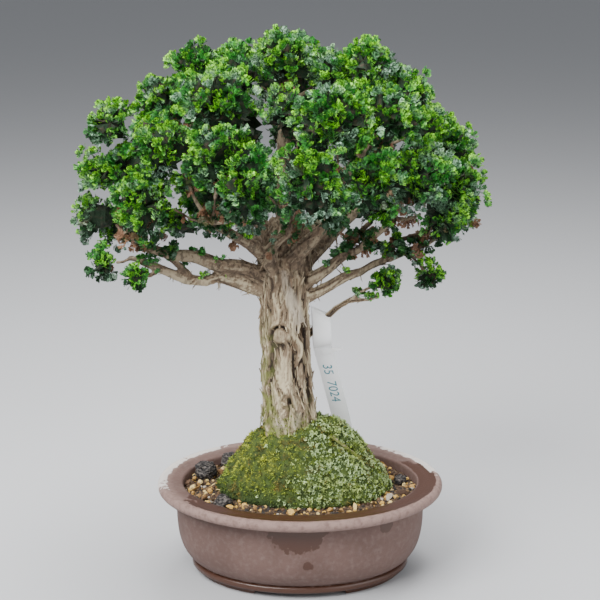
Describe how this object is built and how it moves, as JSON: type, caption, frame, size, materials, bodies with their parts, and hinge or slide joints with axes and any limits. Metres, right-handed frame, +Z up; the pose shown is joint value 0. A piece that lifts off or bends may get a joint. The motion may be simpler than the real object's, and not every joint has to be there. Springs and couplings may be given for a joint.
{
  "type": "bonsai tree",
  "caption": "Hinoki cypress bonsai with a broad domed crown on a furrowed trunk, rooted through a moss mound in an oval unglazed stoneware pot.",
  "frame": {"origin": "on the surface that the pot's feet stand on, under the middle of the whole tree's width and depth", "axes": "+Z up along the trunk, -Y to the front of the tree, +X to the right seen from the front"},
  "size_m": [0.4219, 0.3852, 0.5732],
  "materials": {
    "stoneware": "matte unglazed brown stoneware",
    "net": "matte",
    "soil": "granular, damp",
    "moss": "soft, matte",
    "clod": "rough, matte",
    "bark": "fibrous bark, matte",
    "foliage": "scale leaves, slightly waxy",
    "label": "satin white"
  },
  "bodies": {
    "root": {"pot": "stoneware", "drain_net_left": "net", "drain_net_right": "net", "soil": "soil", "moss_mound": "moss", "clod_left": "clod", "clod_back_left": "clod", "clod_front_left": "clod", "clod_right": "clod", "trunk_and_limbs": "bark", "spray_crown_top": "foliage", "spray_crown_top_left": "foliage", "spray_crown_left_tuft": "foliage", "spray_crown_top_right": "foliage", "spray_crown_right_tuft": "foliage", "spray_left_shoulder": "foliage", "spray_left_high_tip": "foliage", "spray_left_middle": "foliage", "spray_left_lower": "foliage", "spray_left_lower_tip": "foliage", "spray_left_hanging": "foliage", "spray_left_hanging_inner": "foliage", "spray_right_shoulder": "foliage", "spray_right_high_tip": "foliage", "spray_right_middle": "foliage", "spray_right_far": "foliage", "spray_right_lower": "foliage", "spray_right_hanging": "foliage", "spray_right_hanging_inner": "foliage", "spray_right_small": "foliage", "spray_front_upper_left": "foliage", "spray_front_left": "foliage", "spray_front_left_inner": "foliage", "spray_front_left_lower": "foliage", "spray_front_left_low": "foliage", "spray_front_middle_left": "foliage", "spray_front_middle": "foliage", "spray_front_right_low": "foliage", "spray_front_right_inner": "foliage", "spray_front_right": "foliage", "spray_front_right_lower": "foliage", "spray_front_right_end": "foliage", "spray_front_upper_middle": "foliage", "spray_front_hollow": "foliage", "spray_front_upper_right": "foliage", "spray_front_hanging": "foliage", "spray_left_underside": "foliage", "spray_back_upper_left": "foliage", "spray_back_upper": "foliage", "spray_back_upper_right": "foliage", "spray_back_left": "foliage", "spray_back_left_inner": "foliage", "spray_back_middle": "foliage", "spray_back_right_inner": "foliage", "spray_back_right": "foliage", "spray_back_left_lower": "foliage", "spray_back_lower": "foliage", "spray_back_right_lower": "foliage", "plant_label": "label"}
  },
  "joints": []
}
